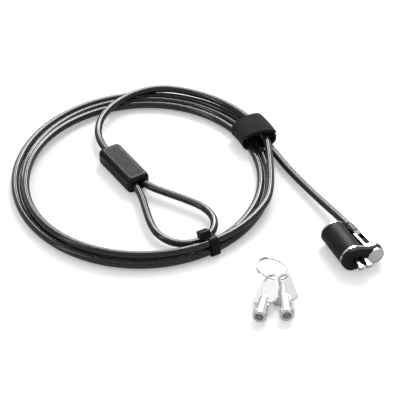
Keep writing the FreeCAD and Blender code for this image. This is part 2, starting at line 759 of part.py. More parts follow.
def lock_core():
    front = SHEAR_Y + SHEAR_GAP / 2 + FIT_GAP
    face = front + FLANGE_T
    flange = rod(BARREL_X, BARREL_Z, front, face, FLANGE_R).cut(bore_set(front - 1, face + 1))
    post = rod(BARREL_X, BARREL_Z, face, POST_REAR_Y, POST_R)
    spindle = rod(BARREL_X, BARREL_Z, SPINDLE_FRONT_Y, front, SPINDLE_R)
    groove = rod(BARREL_X, BARREL_Z, CLIP_Y - FIT_GAP, CLIP_Y + CLIP_T + FIT_GAP, SPINDLE_R + 1)
    groove = groove.cut(rod(BARREL_X, BARREL_Z, CLIP_Y - 1, CLIP_Y + CLIP_T + 1, CLIP_GROOVE_R))
    half = STUB_SIDE / 2
    stub = block(BARREL_X - half, BARREL_X + half, STUB_FRONT_Y, SPINDLE_FRONT_Y,
                 BARREL_Z - half, BARREL_Z + half)
    return flange.fuse([post, spindle.cut(groove), stub]).removeSplitter()


def tumbler_pins():
    front = SHEAR_Y + SHEAR_GAP / 2 + 2 * FIT_GAP
    pins = [rod(x, z, front, front + FLANGE_T + TUMBLER_PROUD - cut, TUMBLER_R)
            for (x, z), cut in zip(tumbler_spots(), TUMBLER_CUTS)]
    return Part.makeCompound(pins)


def driver_pins():
    rear = driver_rear_y()
    return Part.makeCompound([rod(x, z, rear - DRIVER_L, rear, TUMBLER_R) for x, z in tumbler_spots()])


def tumbler_springs():
    y0 = spring_front_y()
    y1 = y0 + SPRING_L
    return Part.makeCompound([
        rod(x, z, y0, y1, TUMBLER_R).cut(rod(x, z, y0 - 1, y1 + 1, TUMBLER_R - SPRING_WALL))
        for x, z in tumbler_spots()])


def retaining_clip():
    y0, y1 = CLIP_Y, CLIP_Y + CLIP_T
    body = rod(BARREL_X, BARREL_Z, y0, y1, CLIP_R).cut(
        rod(BARREL_X, BARREL_Z, y0 - 1, y1 + 1, CLIP_GROOVE_R + FIT_GAP))
    half = CLIP_MOUTH / 2
    return body.cut(block(BARREL_X - half, BARREL_X + half, y0 - 1, y1 + 1,
                          BARREL_Z - CLIP_R - 1, BARREL_Z))


# Key ring and keys

def ring_rotation():
    tilt = FreeCAD.Rotation(V(1, 0, 0), RING_TILT_DEG)
    lean = FreeCAD.Rotation(V(0, 1, 0), RING_LEAN_DEG)
    return lean.multiply(tilt)


def key_ring():
    body = Part.makeTorus(RING_R, RING_WIRE_R)
    body.Placement = FreeCAD.Placement(RING_CENTRE, ring_rotation())
    return body


def ring_point(degrees):
    """A point on the ring's wire, from its near side, positive toward +X."""
    a = math.radians(degrees)
    return RING_CENTRE + ring_rotation().multVec(V(math.sin(a), -math.cos(a), 0) * RING_R)


def key_place(key):
    """Puts a key, drawn along +X from its rear shoulder, with its hole on the ring."""
    hole = ring_point(key["ring_deg"])
    heading = -90 - key["heading"]
    rest = KEY_L - KEY_COLLAR_L
    pitch = math.degrees(math.asin((KEY_REST_Z - hole.z) / (rest - BOW_HOLE_X)))
    turn = FreeCAD.Rotation(UP, heading)
    lift = FreeCAD.Rotation(V(0, 1, 0), -pitch)
    roll = FreeCAD.Rotation(V(1, 0, 0), key["roll"])
    rotation = turn.multiply(lift).multiply(roll)
    back = rotation.multVec(V(BOW_HOLE_X, 0, 0))
    return FreeCAD.Placement(hole - back, rotation)


def bow():
    """Flat grip: a rounded triangle with its hole near the ring, shouldered at the barrel."""
    w, c = BOW_HALF_W, BOW_CORNER_R
    apex = V(BOW_HOLE_X, 0, 0)
    corners = [V(BOW_SHOULDER_X - c, side * (w - c), 0) for side in (1, -1)]
    edges = []
    lean = math.atan2(w - c, corners[0].x - apex.x)
    grow = math.asin((BOW_APEX_R - c) / (corners[0] - apex).Length)
    normal = V(-math.sin(lean - grow), math.cos(lean - grow), 0)
    mirror = V(normal.x, -normal.y, 0)
    a0, a1 = apex + mirror * BOW_APEX_R, apex + normal * BOW_APEX_R
    u0, u1 = corners[0] + normal * c, corners[0] + V(c, 0, 0)
    l0, l1 = corners[1] + V(c, 0, 0), corners[1] + mirror * c
    edges.append(arc(a0, apex - V(BOW_APEX_R, 0, 0), a1))
    edges.append(line(a1, u0))
    edges.append(arc(u0, corners[0] + unit(normal + V(1, 0, 0)) * c, u1))
    edges.append(line(u1, l0))
    edges.append(arc(l0, corners[1] + unit(mirror + V(1, 0, 0)) * c, l1))
    edges.append(line(l1, a0))
    body = Part.Face(Part.Wire(edges)).extrude(UP * BOW_T)
    body.translate(V(0, 0, -BOW_T / 2))
    body = body.cut(Part.makeCylinder(BOW_HOLE_R, BOW_T + 2, apex - UP * (BOW_T / 2 + 1)))
    return body.cut(key_shank())


def key_shank():
    """The barrel without its collar and bore."""
    body = Part.makeCylinder(KEY_SHANK_R, KEY_L - KEY_COLLAR_L, ORIGIN, V(1, 0, 0))
    rear = [e for e in body.Edges if abs(e.CenterOfMass.x) < 1e-6]
    body = body.makeFillet(KEY_END_R, rear)
    return body


def key_barrel():
    """The round shank with its larger cut end, the coded cuts and the guide tooth."""
    collar_x = KEY_L - KEY_COLLAR_L
    collar = Part.makeCylinder(KEY_COLLAR_R, KEY_COLLAR_L, V(collar_x, 0, 0), V(1, 0, 0))
    collar = collar.makeFillet(KEY_COLLAR_EDGE_R, collar.Edges)
    bore = Part.makeCylinder(KEY_BORE_R, KEY_L, V(KEY_L - KEY_BORE_DEPTH, 0, 0), V(1, 0, 0))
    body = key_shank().fuse(collar).cut(bore)
    tooth_l = KEY_COLLAR_L / 2
    tooth = Part.makeBox(tooth_l, TOOTH_W, TOOTH_H + KEY_TOOTH_ROOT)
    tooth.translate(V(KEY_L - KEY_TOOTH_SETBACK - tooth_l, -TOOTH_W / 2,
                      KEY_COLLAR_R - KEY_TOOTH_ROOT))
    body = body.fuse(tooth).removeSplitter()
    cuts = []
    for i, depth in enumerate(TUMBLER_CUTS):
        cut = Part.makeCylinder(TUMBLER_R, depth + 1, V(KEY_L - depth, 0, 0), V(1, 0, 0))
        cut.translate(V(0, TUMBLER_CIRCLE_R + KEY_CUT_OUT, 0))
        cut.rotate(ORIGIN, V(1, 0, 0), 90 + 360 * (i + 0.5) / TUMBLERS)
        cuts.append(cut)
    return body.cut(cuts[0].fuse(cuts[1:]))


def main():
    os.makedirs("parts", exist_ok=True)
    eye_lead = rounded_path(EYE_LEAD, "eye lead")
    lock_lead = rounded_path(LOCK_LEAD, "lock lead")
    eye_loop = rounded_path(EYE_LOOP, "eye loop")
    coil = coil_path()
    paths = {"cable_eye_lead": eye_lead, "cable_lock_lead": lock_lead,
             "cable_eye_loop": eye_loop, "cable_coil": coil}
    for node, path in paths.items():
        solid = tube(path, CABLE_R)
        check_tube(node, solid, path)
        save(solid, node)
    print(f"least gap of the coil to itself: {least_gap(coil):.2f} mm")
    print(f"coil to eye loop: {gap_between(coil, eye_loop):.2f} mm")
    turns = [coil, eye_lead, eye_loop, lock_lead]
    save(band(turns, STRAP_DEG, STRAP_W)[0], "tape_strap")
    save(tie(turns), "cable_tie")

    save(sleeve(), "eye_sleeve")
    save(crimp(), "crimp_ferrule")
    save(cable_end(), "cable_end_ferrule")
    save(yoke(), "swivel_yoke")
    save(pivot_pin(), "yoke_cross_pin")
    save(swivel_stem(), "swivel_stem")
    save(washer(), "swivel_washer")

    save(housing(), "lock_housing")
    save(rear_trim_ring(), "rear_trim_ring")
    save(front_plate(), "front_plate")
    save(front_pad(), "front_pad")
    save(jaw_carrier(), "jaw_carrier")
    save(jaw_pins(), "jaw_pivot_pins")
    save(jaw_springs(), "jaw_return_leaves")
    (left_blade, left_tail), (right_blade, right_tail) = jaw_faces()
    save(jaw(LEFT_PIVOT_X, left_blade, left_tail, -1), "left_jaw")
    save(jaw(RIGHT_PIVOT_X, right_blade, right_tail, 1), "right_jaw")

    save(cylinder_body(), "lock_cylinder_body")
    save(pin_bushing(), "pin_bushing")
    save(lock_core(), "lock_core")
    save(tumbler_pins(), "tumbler_pins")
    save(driver_pins(), "driver_pins")
    save(tumbler_springs(), "tumbler_springs")
    save(retaining_clip(), "core_retaining_clip")
    save(cam(), "jaw_cam")

    save(key_ring(), "key_ring")
    for key in (LEFT_KEY, RIGHT_KEY):
        for piece, shape in (("bow", bow()), ("barrel", key_barrel())):
            shape.Placement = key_place(key)
            save(shape, f"{key['name']}_key_{piece}")


main()
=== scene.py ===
"""Looks for a laptop cable lock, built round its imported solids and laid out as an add-on."""

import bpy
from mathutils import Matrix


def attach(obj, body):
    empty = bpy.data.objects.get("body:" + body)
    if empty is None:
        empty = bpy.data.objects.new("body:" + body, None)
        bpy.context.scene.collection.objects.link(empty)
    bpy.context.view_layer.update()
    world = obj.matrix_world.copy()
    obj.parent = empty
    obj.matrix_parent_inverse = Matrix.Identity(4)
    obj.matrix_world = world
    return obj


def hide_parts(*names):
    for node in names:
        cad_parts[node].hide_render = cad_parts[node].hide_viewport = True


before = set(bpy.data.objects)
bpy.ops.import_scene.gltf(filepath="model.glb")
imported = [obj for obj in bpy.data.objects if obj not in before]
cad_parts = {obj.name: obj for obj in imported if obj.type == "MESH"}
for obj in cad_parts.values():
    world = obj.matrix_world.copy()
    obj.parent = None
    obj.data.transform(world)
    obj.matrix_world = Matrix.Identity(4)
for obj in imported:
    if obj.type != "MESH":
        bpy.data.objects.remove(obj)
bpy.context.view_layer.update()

import math

import bpy
import numpy as np
from bpy.props import FloatProperty, FloatVectorProperty, IntProperty, PointerProperty
from bpy.types import NodeSocket, Operator, Panel, PropertyGroup
from mathutils import Euler, Vector

bl_info = {
    "name": "Laptop cable lock",
    "version": (1, 0, 0),
    "blender": (4, 5, 0),
    "location": "3D Viewport > Sidebar > Cable lock",
    "description": "Cable, strap, key ring and finishes of a laptop cable lock",
    "category": "Add Mesh",
}

MM = 0.001

# Route of the cable's leads and of its eye, in millimetres, from the lock to the crimp
LOCK_LEAD = [
    (37.44, 26.17, 6.8), (36.74, 34.13, 6.8), (35.4, 46.5, 5.8), (33.3, 66.0, 4.6),
    (31.5, 90.0, 3.6), (31.2, 102.7, 3.55), (30.73, 122.7, 3.55),
]
EYE_LEAD = [
    (28.2, 112.1, 8.45), (30.3, 123.6, 8.45), (28.6, 145.3, 8.45), (18.8, 168.9, 8.45),
    (1.2, 188.7, 8.45), (-14.1, 196.2, 8.45), (-30.6, 195.4, 8.45), (-44.4, 189.8, 8.45),
    (-55.4, 181.2, 8.2), (-62.3, 170.4, 6.6), (-64.2, 158.6, 5.7), (-62.5, 146.8, 5.5),
    (-61.8, 138.0, 5.5),
]
EYE_LOOP = [
    (-61.9, 130.0, 5.5), (-61.56, 123.64, 5.5), (-60.2, 114.3, 5.5), (-61.0, 102.0, 5.6),
    (-64.0, 88.5, 5.7), (-66.0, 77.6, 5.4), (-66.0, 67.6, 4.8), (-61.0, 58.6, 3.9),
    (-52.5, 53.6, 3.55), (-42.6, 53.4, 3.55), (-33.8, 58.4, 3.9), (-29.4, 67.4, 4.8),
    (-31.2, 78.2, 5.4), (-38.2, 88.6, 5.7), (-46.4, 99.6, 5.6), (-54.92, 111.52, 5.5),
    (-56.82, 124.32, 5.5),
]
CABLE_SIDES = 18
CABLE_STEPS = 10

# Coil, from the eye's lead to the lock's: radii and slopes where its quarter turns start
COIL_CENTRE = (-51.3, 121.6)
COIL_START_DEG = -10.0
COIL_RADII = (81.3, 75.7, 73.7, 70.9)
COIL_SLOPES = (1.8, -3.15, -13.0, 1.2325)
COIL_UPPER_QUARTERS = 3            # the turns after them grow by the pitch
COIL_PITCH = 4.93
COIL_FIRST, COIL_LAST = 2, 70      # numbers of the corners at its ends
COIL_POINTS_A_QUARTER = 6
COIL_OVAL = 1.6
COIL_OVAL_DEG = 65.0
COIL_HIGH_Z = 8.45
COIL_LOW_Z = 3.55
COIL_CORNER_CUT = 0.99145          # the spline's radius as a share of its corners'

# Tape strap: a loose oval round the strands, seen along the cable
STRAP_AT = (24.338, 129.012)
STRAP_OUT = (0.9992, 0.0391)
STRAP_MIDDLE = (1.8, 6.75)
STRAP_HALF = (10.7, 6.2)
STRAP_FULLNESS = 2.5               # 2 is an ellipse, and more is squarer
STRAP_BEND_R = 76.0
STRAP_FIRST_DEG = 128.0
STRAP_LAST_DEG = -335.0
STRAP_RISE_DEG = (-150.0, -232.0)  # where the second layer climbs on the first
STRAP_LAYER = 1.05
STRAP_EDGE_R = 0.2
STRAP_SAMPLES = 400
STRAP_ROWS, STRAP_COLUMNS = 150, 17

# Key ring
RING_CENTRE = (-17.7, 13.75, 4.4)
RING_LEAN_DEG = 14.0
RING_TILT_DEG = 3.0
RING_FIRST_DEG = 176.0
RING_LAP_DEG = 104.0
RING_SPLAY = 0.75
RING_TO_PLANE = (0.42, 0.29)       # turns between which the wire is off the plane at its start
RING_FROM_PLANE = (0.57, 0.9)      # and on the other side after this
RING_ROWS = 260

# Axes along Y, as X and Z, that lathe marks run round
HEAD_AXIS = (26.3, 7.7)
DISC_AXIS = (39.5, 6.8)
DISC_FACE_R = (4.5, 4.65)          # where the matt face gives way to the rim
DISC_FACE_COLOR = (0.62, 0.625, 0.635)

# What polished parts mirror: a screen behind, up this way, with a dim middle and a bright
# hoop round that, and a dimmer surround; edges are minus the cosine off that way
SCREEN_TOWARD = (0.318, 0.697, 0.643)
SCREEN_LEVEL = 0.8
SCREEN_EDGE = (-0.8, -0.35)
DARK_LEVEL = 0.34
MIDDLE_DIP = -0.4
MIDDLE_EDGE = (-0.985, -0.962)
HOOP_DEG = 16.0
HOOP_EDGE = (0.01, 0.028)          # off the hoop's own cosine
HOOP_LEVEL = 13.0

# Stage, in metres
STAGE_MIDDLE = (-0.028, 0.091, 0.0)
CAMERA_AT = (-0.3457, -0.6061, 0.6428)
CAMERA_TURN_DEG = (50.0, 0.0, -24.5)
CAMERA_LENS, CAMERA_SENSOR = 150.0, 36.0
FLOOR_HALF = 4.0
FLOOR_Z = -0.00005
FLOOR_GLOW = 0.3
LAMPS = (                          # place from the middle, size, power, share of it, mirrored
    ("Key lamp", (0.62, 0.62, 1.0), (0.55, 0.55), "key_power", 1.0, True),
    ("Back lamp", (0.35, 1.25, 0.95), (1.9, 1.0), "back_power", 1.0, False),
    ("Side lamp", (-1.1, 0.05, 0.8), (0.25, 1.1), "key_power", 0.22, True),
)

# Finishes
STRANDS = (14, 5)                  # fine wires and bundles round the cable
BUNDLE_SHARE = 0.6
STRAND_RANGE = (-1.2, 1.5)         # of the waves added, from dark to full light
MOULD_DEPTH = 0.00002
MOULD_SPECULAR = 0.14
METAL_DEPTH = 0.000004
SCRATCH_TURNS = ((0.3, 0.5, 0.4), (1.2, 0.2, 2.0))
SCRATCH_LENGTHEN = 0.04
SCRATCH_RANGE = (0.62, 0.7)        # of the noise, from no scratch to a full one


# Surfaces

def surface(name, points, u, v, is_tube=False):
    """A mesh from a grid of points, with one four-sided face for each cell and a UV map.

    Rows follow the first parameter and columns the second. A tube joins its last column to
    its first and has a flat cap at each end.
    """
    rows, columns = points.shape[:2]
    row, column = (a.ravel() for a in np.meshgrid(
        np.arange(rows - 1), np.arange(columns if is_tube else columns - 1), indexing="ij"))
    here, ahead, beside = row * columns, (row + 1) * columns, (column + 1) % columns
    faces = np.stack([here + column, here + beside, ahead + beside, ahead + column], 1).tolist()
    if is_tube:
        faces.append(list(range(columns))[::-1])
        faces.append(list(range((rows - 1) * columns, rows * columns)))
    mesh = bpy.data.meshes.new(name)
    mesh.from_pydata(points.reshape(-1, 3).tolist(), [], faces)
    corners = np.stack([
        np.stack([u[row], v[column]], 1), np.stack([u[row], v[column + 1]], 1),
        np.stack([u[row + 1], v[column + 1]], 1), np.stack([u[row + 1], v[column]], 1)], 1)
    flat = np.zeros((len(mesh.loops), 2))
    flat[:len(row) * 4] = corners.reshape(-1, 2)
    mesh.uv_layers.new(name="UVMap").data.foreach_set("uv", flat.ravel())
    mesh.polygons.foreach_set("use_smooth", np.ones(len(mesh.polygons), bool))
    piece = bpy.data.objects.new(name, mesh)
    bpy.context.scene.collection.objects.link(piece)
    return piece


def unit(a):
    """Vectors, each over its own length."""
    return a / np.linalg.norm(a, axis=-1, keepdims=True)


def ramp(a, start, end):
    """Zero before the start and one after the end, with an eased rise between."""
    share = np.clip((a - start) / (end - start), 0, 1)
    return share ** 2 * (3 - 2 * share)


def rounded(length):
    """A property's length in metres, without the noise past its seven digits."""
    return round(length, 6)


def run_length(path):
    """How far along a path each of its points lies: the sum of the steps before it."""
    return np.concatenate([[0.0], np.cumsum(np.linalg.norm(np.diff(path, axis=0), axis=1))])


def tube(name, path, radius, sides, upward=(0.0, 0.0, 1.0)):
    """Round wire along a path: point = path + side * r cos t + up * r sin t.

    Side is square to the path and to the upward direction, and up is square to both. The UV
    map holds the length along the path, and the share of the way round.
    """
    t = np.linspace(0, 2 * math.pi, sides, endpoint=False)[None, :, None]
    along = unit(np.gradient(path, axis=0))
    side = unit(np.cross(along, np.array(upward)))
    up = np.cross(side, along)
    points = path[:, None] + side[:, None] * radius * np.cos(t) + up[:, None] * radius * np.sin(t)
    return surface(name, points, run_length(path), np.linspace(0, 1, sides + 1), True)


def spline_through(name, points, steps):
    """Points along a smooth line of order three whose corners are the points given."""
    curve = bpy.data.curves.new(name, "CURVE")
    curve.dimensions = "3D"
    curve.resolution_u = steps
    spline = curve.splines.new("NURBS")
    spline.points.add(len(points) - 1)
    spline.points.foreach_set("co", np.column_stack([points, np.ones(len(points))]).ravel())
    spline.order_u = 3
    spline.use_endpoint_u = True
    route = bpy.data.objects.new(name, curve)
    mesh = bpy.data.meshes.new_from_object(route)
    line = np.zeros(len(mesh.vertices) * 3)
    mesh.vertices.foreach_get("co", line)
    bpy.data.meshes.remove(mesh)
    bpy.data.objects.remove(route)
    bpy.data.curves.remove(curve)
    return line.reshape(-1, 3)


# Shapes of this lock

def coil_points():
    """Corners of the coil's line, from the eye's lead to the lock's.

    With q in quarter turns, the angle is start - 90 q and the radius is a cubic between the
    stated radii, then grows by a pitch a turn, with an oval of cos 2 (angle - its direction).
    """
    q = np.arange(COIL_FIRST, COIL_LAST + 1) / COIL_POINTS_A_QUARTER
    k = np.minimum(q.astype(int), COIL_UPPER_QUARTERS - 1)
    t = q - k
    r, slope = np.array(COIL_RADII), np.array(COIL_SLOPES)
    upper = ((2 * t ** 3 - 3 * t ** 2 + 1) * r[k] + (t ** 3 - 2 * t ** 2 + t) * slope[k]
             + (3 * t ** 2 - 2 * t ** 3) * r[k + 1] + (t ** 3 - t ** 2) * slope[k + 1])
    lower = COIL_RADII[-1] + COIL_PITCH * (q - COIL_UPPER_QUARTERS) / 4
    angle = np.radians(COIL_START_DEG - 90 * q)
    radius = np.where(q < COIL_UPPER_QUARTERS, upper, lower)
    radius = radius + COIL_OVAL * np.cos(2 * (angle - math.radians(COIL_OVAL_DEG)))
    radius = radius / COIL_CORNER_CUT
    sunk = ramp(q, COIL_UPPER_QUARTERS - 1, COIL_UPPER_QUARTERS)
    return np.stack([COIL_CENTRE[0] + radius * np.cos(angle),
                     COIL_CENTRE[1] + radius * np.sin(angle),
                     COIL_HIGH_Z + (COIL_LOW_Z - COIL_HIGH_Z) * sunk], 1)


def cable_route():
    """The whole cable's corners, in metres, from the lock round the coil to the eye's crimp."""
    return np.concatenate([LOCK_LEAD, coil_points()[::-1], EYE_LEAD, EYE_LOOP]) * MM


def strap_section():
    """The strap seen along the cable: an oval that goes round once and laps itself.

    At angle t it is (a |cos t|^p, b |sin t|^p) with their signs and p = 2 / fullness; a and b
    grow by one layer where the second turn climbs on the first.
    """
    t = np.radians(np.linspace(STRAP_FIRST_DEG, STRAP_LAST_DEG, STRAP_SAMPLES))
    outward = np.stack([np.cos(t), np.sin(t)], 1)
    half = np.array(STRAP_HALF) + STRAP_LAYER * ramp(t, *np.radians(STRAP_RISE_DEG))[:, None]
    line = np.array(STRAP_MIDDLE) + half * np.sign(outward) * np.abs(outward) ** (2 / STRAP_FULLNESS)
    run = run_length(line)
    even = np.linspace(0, run[-1], STRAP_ROWS)
    return np.stack([np.interp(even, run, line[:, 0]), np.interp(even, run, line[:, 1])], 1)


def strap_points(section, width):
    """The strap's middle layer: its section swept on an arc about the coil's middle."""
    out = np.array(STRAP_OUT)
    centre = np.array(STRAP_AT) - out * STRAP_BEND_R
    across = np.linspace(-width / 2, width / 2, STRAP_COLUMNS) / STRAP_BEND_R
    heading = math.atan2(out[1], out[0]) + across
    radius = STRAP_BEND_R + section[:, 0]
    return np.stack([
        centre[0] + radius[:, None] * np.cos(heading),
        centre[1] + radius[:, None] * np.sin(heading),
        np.repeat(section[:, 1:], len(across), 1)], 2) * MM


def ring_path(radius, wire):
    """The split ring's wire: a circle that passes its own start and lies beside it.

    At angle t the wire stands off the ring's plane by its radius one way at its start and
    the other way from the end of the turn on. It runs in the plane between, where the keys
    hang, and splays outward at its end. The ring's upward direction comes with the path.
    """
    t = np.radians(np.linspace(RING_FIRST_DEG, RING_FIRST_DEG + 360 + RING_LAP_DEG, RING_ROWS))
    turn = (t - t[0]) / (2 * math.pi)
    side = wire * (ramp(turn, *RING_FROM_PLANE) - ramp(turn, *RING_TO_PLANE))
    past = np.clip(turn - 1, 0, 1) * 360 / RING_LAP_DEG
    r = radius + RING_SPLAY * wire * past * past
    local = np.stack([r * np.sin(t), -r * np.cos(t), -side], 1)
    lean, tilt = math.radians(RING_LEAN_DEG), math.radians(RING_TILT_DEG)
    turned = np.array(Euler((tilt, lean, 0), "XYZ").to_matrix())
    return (local @ turned.T + np.array(RING_CENTRE)) * MM, turned[:, 2]


# Nodes

def feed(tree, socket, value):
    """Links an input to another node's output, or sets it to a plain value."""
    if isinstance(value, NodeSocket):
        tree.links.new(value, socket)
    else:
        socket.default_value = value


def add(tree, kind, inputs=None, **settings):
    """The outputs of a new node with these settings, and inputs fed by name or place."""
    node = tree.nodes.new(kind)
    for key, value in settings.items():
        setattr(node, key, value)
    for key, value in (inputs or {}).items():
        feed(tree, node.inputs[key], value)
    return node.outputs


def calc(tree, operation, *operands):
    """The output of a math node on plain values or other outputs."""
    return add(tree, "ShaderNodeMath", dict(enumerate(operands)), operation=operation)[0]


def between(tree, source, low, high, start=0.3, end=0.7):
    """A value from low to high as the source goes from start to end."""
    return add(tree, "ShaderNodeMapRange", {0: source, 1: start, 2: end, 3: low, 4: high})[0]


def blend_value(tree, mask, first, second):
    """The first value where the mask is 0, the second where it is 1, and a mix between."""
    return add(tree, "ShaderNodeMix", {0: mask, 2: first, 3: second}, data_type="FLOAT")[0]


def blend_color(tree, mask, first, second):
    """The same for two colours."""
    colors = {0: mask, 6: (*first, 1), 7: (*second, 1)}
    return add(tree, "ShaderNodeMix", colors, data_type="RGBA")[2]


def bump(tree, height, distance, strength=1.0):
    """A normal that follows a height, where a height of 1 stands up by the distance."""
    raised = {"Height": height, "Distance": distance, "Strength": strength}
    return add(tree, "ShaderNodeBump", raised)[0]


def seen_directly(tree, path):
    """One for what the camera sees straight or through glass, and else zero."""
    return calc(tree, "MAXIMUM", path["Is Camera Ray"], path["Is Transmission Ray"])


# Effects that finishes share

def fill_grain(tree, given, out):
    """Fine moulded or cast grain: a speckle and a soft cloud, both from 0 to 1."""
    place = add(tree, "ShaderNodeTexCoord")["Object"]
    for label, scale, detail in (("Speckle", "Scale", 3.0), ("Cloud", "Cloud Scale", 4.0)):
        noise = {"Vector": place, "Scale": given[scale], "Detail": detail, "Roughness": 0.6}
        feed(tree, out[label], add(tree, "ShaderNodeTexNoise", noise)["Fac"])


def fill_scratches(tree, given, out):
    """Fine scratches: long thin noise in two directions, kept where it is highest."""
    place = add(tree, "ShaderNodeTexCoord")["Object"]
    masks = []
    for turn in SCRATCH_TURNS:
        stretch = {"Vector": place, "Rotation": turn, "Scale": (1.0, SCRATCH_LENGTHEN, 1.0)}
        noise = {"Vector": add(tree, "ShaderNodeMapping", stretch)["Vector"],
                 "Scale": given["Scale"], "Detail": 2.0}
        fine = add(tree, "ShaderNodeTexNoise", noise)["Fac"]
        masks.append(between(tree, fine, 0.0, 1.0, *SCRATCH_RANGE))
    feed(tree, out["Mask"], calc(tree, "MULTIPLY", calc(tree, "MAXIMUM", *masks), given["Amount"]))


def fill_turned(tree, given, out):
    """Lathe marks: rings about an axis along Y through the place given by X and Z."""
    place = add(tree, "ShaderNodeTexCoord")["Object"]
    parts = add(tree, "ShaderNodeSeparateXYZ", {0: place})
    away = [calc(tree, "SUBTRACT", parts[axis], given[axis]) for axis in ("X", "Z")]
    squares = [calc(tree, "MULTIPLY", distance, distance) for distance in away]
    radius = calc(tree, "MULTIPLY", calc(tree, "SQRT", calc(tree, "ADD", *squares)), 1 / MM)
    feed(tree, out["Radius mm"], radius)
    along = calc(tree, "MULTIPLY_ADD", parts["Y"], 1 / MM, radius)
    noise = {"W": calc(tree, "MULTIPLY", along, given["Rings a mm"]), "Scale": 1.0, "Detail": 2.0}
    feed(tree, out["Mark"], add(tree, "ShaderNodeTexNoise", noise, noise_dimensions="1D")["Fac"])


EFFECTS = {
    "Grain": (fill_grain, {"Scale": 2500.0, "Cloud Scale": 120.0}, ("Speckle", "Cloud")),
    "Scratches": (fill_scratches, {"Scale": 900.0, "Amount": 0.5}, ("Mask",)),
    "Turned": (fill_turned, {"X": 0.0, "Z": 0.0, "Rings a mm": 3.0}, ("Radius mm", "Mark")),
}


def effect(tree, name, inputs=None):
    """The outputs of a shared effect, whose group is made when it is first asked for."""
    if name not in bpy.data.node_groups:
        fill, given, made = EFFECTS[name]
        group = bpy.data.node_groups.new(name, "ShaderNodeTree")
        for label, default in given.items():
            socket = group.interface.new_socket(
                name=label, in_out="INPUT", socket_type="NodeSocketFloat")
            socket.default_value = default
        for label in made:
            group.interface.new_socket(name=label, in_out="OUTPUT", socket_type="NodeSocketFloat")
        fill(group, group.nodes.new("NodeGroupInput").outputs,
             group.nodes.new("NodeGroupOutput").inputs)
    return add(tree, "ShaderNodeGroup", inputs, node_tree=bpy.data.node_groups[name])


# Finishes

def new_material(name, color):
    """An empty node material, with its tree."""
    material = bpy.data.materials.new(name)
    material.use_nodes = True
    material.diffuse_color = (*color, 1.0)
    return material, material.node_tree


def shade(tree, values):
    """Feeds the inputs of the tree's Principled shader."""
    for name, value in values.items():
        feed(tree, tree.nodes["Principled BSDF"].inputs[name], value)


def scaled_color(color, factor):
    """A lighter or darker colour, cut off at 1."""
    return tuple(min(1.0, c * factor) for c in color)


def moulded(name, color, roughness, grain=2500.0, coat=0.0):
    """Black plastic, rubber or paint: cloudy tone, speckled grain, slight uneven gloss."""
    material, tree = new_material(name, color)
    grains = effect(tree, "Grain", {"Scale": grain})
    dark, light = scaled_color(color, 0.75), scaled_color(color, 1.3)
    shade(tree, {
        "Base Color": blend_color(tree, grains["Cloud"], dark, light),
        "Roughness": between(tree, grains["Cloud"], roughness * 0.85, roughness * 1.15),
        "Normal": bump(tree, grains["Speckle"], MOULD_DEPTH),
        "Specular IOR Level": MOULD_SPECULAR,
        "Coat Weight": coat,
        "Coat Roughness": 0.12,
    })
    return material


def metal(name, color, roughness, axis=None, marks=3.0, depth=METAL_DEPTH, scratches=0.5,
          plated=1.0):
    """Bare or plated metal: fine scratches, slight tarnish, and lathe marks about an axis."""
    material, tree = new_material(name, color)
    grains = effect(tree, "Grain", {"Scale": 1800.0, "Cloud Scale": 90.0})
    scratched = effect(tree, "Scratches", {"Amount": scratches})["Mask"]
    if axis is None:
        relief = bump(tree, grains["Speckle"], depth)
    else:
        lathe = {"X": axis[0] * MM, "Z": axis[1] * MM, "Rings a mm": marks}
        relief = bump(tree, effect(tree, "Turned", lathe)["Mark"], depth * 3)
    shade(tree, {
        "Metallic": plated,
        "Base Color": blend_color(tree, grains["Cloud"], scaled_color(color, 0.92), color),
        "Roughness": between(tree, scratched, roughness, roughness + 0.07, 0.0, 1.0),
        "Normal": relief,
    })
    return material


def jacket_material(settings):
    """Twisted steel strands under a clear black jacket: slanting light and dark on the UV map.

    The strand pattern is a sine of (length / lay + share round the cable) times the strands.
    """
    material, tree = new_material("Cable jacket", settings.jacket_color)
    parts = add(tree, "ShaderNodeSeparateXYZ", {0: add(tree, "ShaderNodeUVMap", uv_map="UVMap")[0]})
    waves = []
    for strands in STRANDS:
        turns = 2 * math.pi * strands
        across = calc(tree, "MULTIPLY", parts["Y"], turns)
        slanted = calc(tree, "MULTIPLY_ADD", parts["X"], turns / rounded(settings.strand_lay), across)
        waves.append(calc(tree, "SINE", slanted))
    both = calc(tree, "MULTIPLY_ADD", waves[1], BUNDLE_SHARE, waves[0])
    mask = between(tree, both, 0.0, 1.0, *STRAND_RANGE)
    dark = scaled_color(settings.jacket_color, 0.55)
    grains = effect(tree, "Grain", {"Scale": 700.0, "Cloud Scale": 60.0})
    shade(tree, {
        "Base Color": blend_color(tree, mask, dark, tuple(settings.strand_color)),
        "Roughness": between(tree, grains["Cloud"], 0.3, 0.42),
        "Normal": bump(tree, mask, 0.00001, 0.4),
        "Coat Weight": 1.0,
        "Coat Roughness": 0.05,
        "Coat IOR": 1.6,
        "Specular IOR Level": 0.04,
    })
    return material


